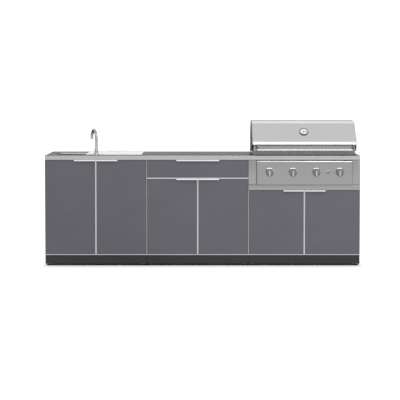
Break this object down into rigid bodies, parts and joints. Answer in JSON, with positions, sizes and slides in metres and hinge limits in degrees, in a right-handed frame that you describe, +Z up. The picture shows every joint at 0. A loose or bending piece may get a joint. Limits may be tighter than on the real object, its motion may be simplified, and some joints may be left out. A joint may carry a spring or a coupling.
{
  "type": "outdoor kitchen island",
  "caption": "Straight outdoor kitchen island: sink cabinet with faucet and cover board, bar cabinet with drawer, and gas grill with hinged hood over double doors, on a dark plinth.",
  "frame": {"origin": "on the floor, under the middle of the island's bounding box", "axes": "+Z up, +X along the run from the sink to the grill, the doors face -Y"},
  "size_m": [2.5144, 0.6616, 1.154],
  "materials": {
    "worktop_steel": "fine brushed, lengthwise",
    "front_steel": "fine brushed, lengthwise",
    "hood_steel": "fine brushed, satin sheen",
    "trim_steel": "satin",
    "inner_steel": "mill finish sheet",
    "chrome": "polished",
    "cast_aluminium": "satin casting",
    "slate_paint": "satin powder coat",
    "charcoal_paint": "matt powder coat",
    "carcass_steel": "satin powder coat",
    "firebox_steel": "heat-browned sheet",
    "cast_iron": "matt enamel",
    "brass": "machined",
    "knob_metal": "satin",
    "black_plastic": "fine grain",
    "board_white": "smooth",
    "gauge_case": "polished, white dial",
    "zinc_steel": "zinc plated"
  },
  "bodies": {
    "cabinets": {"sink_deck": "worktop_steel", "bar_deck": "worktop_steel", "grill_deck": "worktop_steel", "sink_cabinet_sides": "slate_paint", "bar_cabinet_sides": "slate_paint", "grill_cabinet_sides": "slate_paint", "cabinet_floors": "trim_steel", "cabinet_backs": "carcass_steel", "cabinet_rails": "trim_steel", "plinth_frames": "charcoal_paint", "levelling_feet": "black_plastic", "door_pivots": "zinc_steel", "drawer_fixed_slides": "zinc_steel", "sink_bowl": "worktop_steel", "sink_drain": "chrome", "faucet_body": "chrome", "grill_frame": "front_steel", "control_panel": "front_steel", "knob_bezels": "trim_steel", "gas_valves": "brass", "gas_manifold": "zinc_steel", "firebox": "firebox_steel", "burners": "inner_steel", "flame_tamers": "firebox_steel", "cooking_grates": "cast_iron", "warming_rack": "inner_steel"},
    "sink_left": {"sink_left_door": "slate_paint", "sink_left_pull": "trim_steel"},
    "sink_right": {"sink_right_door": "slate_paint", "sink_right_pull": "trim_steel"},
    "bar_left": {"bar_left_door": "slate_paint", "bar_left_pull": "trim_steel"},
    "bar_right": {"bar_right_door": "slate_paint", "bar_right_pull": "trim_steel"},
    "grill_left": {"grill_left_door": "slate_paint", "grill_left_pull": "trim_steel"},
    "grill_right": {"grill_right_door": "slate_paint", "grill_right_pull": "trim_steel"},
    "drawer": {"drawer_front": "slate_paint", "drawer_pull": "trim_steel", "drawer_box": "inner_steel"},
    "drawer_slides": {"drawer_middle_slides": "zinc_steel"},
    "strainer": {"sink_strainer": "chrome"},
    "board": {"sink_board": "board_white"},
    "spout": {"faucet_spout": "chrome"},
    "lever": {"faucet_lever": "chrome"},
    "plunger_1": {"valve_plunger_1": "zinc_steel"},
    "burner_knob_1": {"knob_1": "knob_metal"},
    "plunger_2": {"valve_plunger_2": "zinc_steel"},
    "burner_knob_2": {"knob_2": "knob_metal"},
    "plunger_3": {"valve_plunger_3": "zinc_steel"},
    "burner_knob_3": {"knob_3": "knob_metal"},
    "plunger_4": {"valve_plunger_4": "zinc_steel"},
    "burner_knob_4": {"knob_4": "knob_metal"},
    "igniter": {"igniter_button": "knob_metal"},
    "hood": {"hood_shell": "hood_steel", "hood_end_caps": "cast_aluminium", "hood_handle": "trim_steel", "hood_gauge": "gauge_case"},
    "tray": {"grease_tray": "inner_steel"}
  },
  "joints": [
    {"name": "sink_left_door_hinge", "type": "hinge", "parent": "cabinets", "child": "sink_left", "pos_m": [-1.2443, -0.2628, 0.1], "axis": [0, 0, -1], "range_deg": [0, 85]},
    {"name": "sink_right_door_hinge", "type": "hinge", "parent": "cabinets", "child": "sink_right", "pos_m": [-0.4575, -0.2628, 0.1], "axis": [0, 0, 1], "range_deg": [0, 85]},
    {"name": "bar_left_door_hinge", "type": "hinge", "parent": "cabinets", "child": "bar_left", "pos_m": [-0.4315, -0.2628, 0.1], "axis": [0, 0, -1], "range_deg": [0, 85]},
    {"name": "bar_right_door_hinge", "type": "hinge", "parent": "cabinets", "child": "bar_right", "pos_m": [0.3553, -0.2628, 0.1], "axis": [0, 0, 1], "range_deg": [0, 85]},
    {"name": "grill_left_door_hinge", "type": "hinge", "parent": "cabinets", "child": "grill_left", "pos_m": [0.3813, -0.2628, 0.1], "axis": [0, 0, -1], "range_deg": [0, 85]},
    {"name": "grill_right_door_hinge", "type": "hinge", "parent": "cabinets", "child": "grill_right", "pos_m": [1.2443, -0.2628, 0.1], "axis": [0, 0, 1], "range_deg": [0, 85]},
    {"name": "drawer_slide", "type": "slide", "parent": "cabinets", "child": "drawer", "axis": [0, -1, 0], "range_m": [0, 0.4]},
    {"name": "drawer_member_slide", "type": "slide", "parent": "cabinets", "child": "drawer_slides", "axis": [0, -1, 0], "range_m": [0, 0.2]},
    {"name": "hood_hinge", "type": "hinge", "parent": "cabinets", "child": "hood", "pos_m": [0.8128, 0.2162, 0.904], "axis": [-1, 0, 0], "range_deg": [0, 85]},
    {"name": "knob_1_press", "type": "slide", "parent": "cabinets", "child": "plunger_1", "axis": [0, 1, 0], "range_m": [0, 0.003], "stiffness_N_per_m": 1500, "springref_m": -0.001},
    {"name": "knob_1_turn", "type": "hinge", "parent": "plunger_1", "child": "burner_knob_1", "pos_m": [0.5338, -0.2978, 0.748], "axis": [0, -1, 0], "range_deg": [0, 225]},
    {"name": "knob_2_press", "type": "slide", "parent": "cabinets", "child": "plunger_2", "axis": [0, 1, 0], "range_m": [0, 0.003], "stiffness_N_per_m": 1500, "springref_m": -0.001},
    {"name": "knob_2_turn", "type": "hinge", "parent": "plunger_2", "child": "burner_knob_2", "pos_m": [0.7198, -0.2978, 0.748], "axis": [0, -1, 0], "range_deg": [0, 225]},
    {"name": "knob_3_press", "type": "slide", "parent": "cabinets", "child": "plunger_3", "axis": [0, 1, 0], "range_m": [0, 0.003], "stiffness_N_per_m": 1500, "springref_m": -0.001},
    {"name": "knob_3_turn", "type": "hinge", "parent": "plunger_3", "child": "burner_knob_3", "pos_m": [0.9058, -0.2978, 0.748], "axis": [0, -1, 0], "range_deg": [0, 225]},
    {"name": "knob_4_press", "type": "slide", "parent": "cabinets", "child": "plunger_4", "axis": [0, 1, 0], "range_m": [0, 0.003], "stiffness_N_per_m": 1500, "springref_m": -0.001},
    {"name": "knob_4_turn", "type": "hinge", "parent": "plunger_4", "child": "burner_knob_4", "pos_m": [1.0918, -0.2978, 0.748], "axis": [0, -1, 0], "range_deg": [0, 225]},
    {"name": "igniter_press", "type": "slide", "parent": "cabinets", "child": "igniter", "axis": [0, 1, 0], "range_m": [0, 0.003], "stiffness_N_per_m": 1200, "springref_m": -0.001},
    {"name": "spout_turn", "type": "hinge", "parent": "cabinets", "child": "spout", "pos_m": [-0.8509, -0.2128, 0.94], "axis": [0, 0, 1], "range_deg": [-90, 90]},
    {"name": "lever_turn", "type": "hinge", "parent": "cabinets", "child": "lever", "pos_m": [-0.8509, -0.1915, 0.918], "axis": [0, 1, 0], "range_deg": [0, 70]},
    {"name": "board_lift", "type": "slide", "parent": "cabinets", "child": "board", "axis": [0, 0, 1], "range_m": [0, 0.1]},
    {"name": "strainer_lift", "type": "slide", "parent": "cabinets", "child": "strainer", "axis": [0, 0, 1], "range_m": [0, 0.1]},
    {"name": "tray_slide", "type": "slide", "parent": "cabinets", "child": "tray", "axis": [0, 1, 0], "range_m": [0, 0.35]}
  ],
  "couplings": [
    {"joint": "drawer_member_slide", "follows": "drawer_slide", "ratio": 0.5}
  ]
}
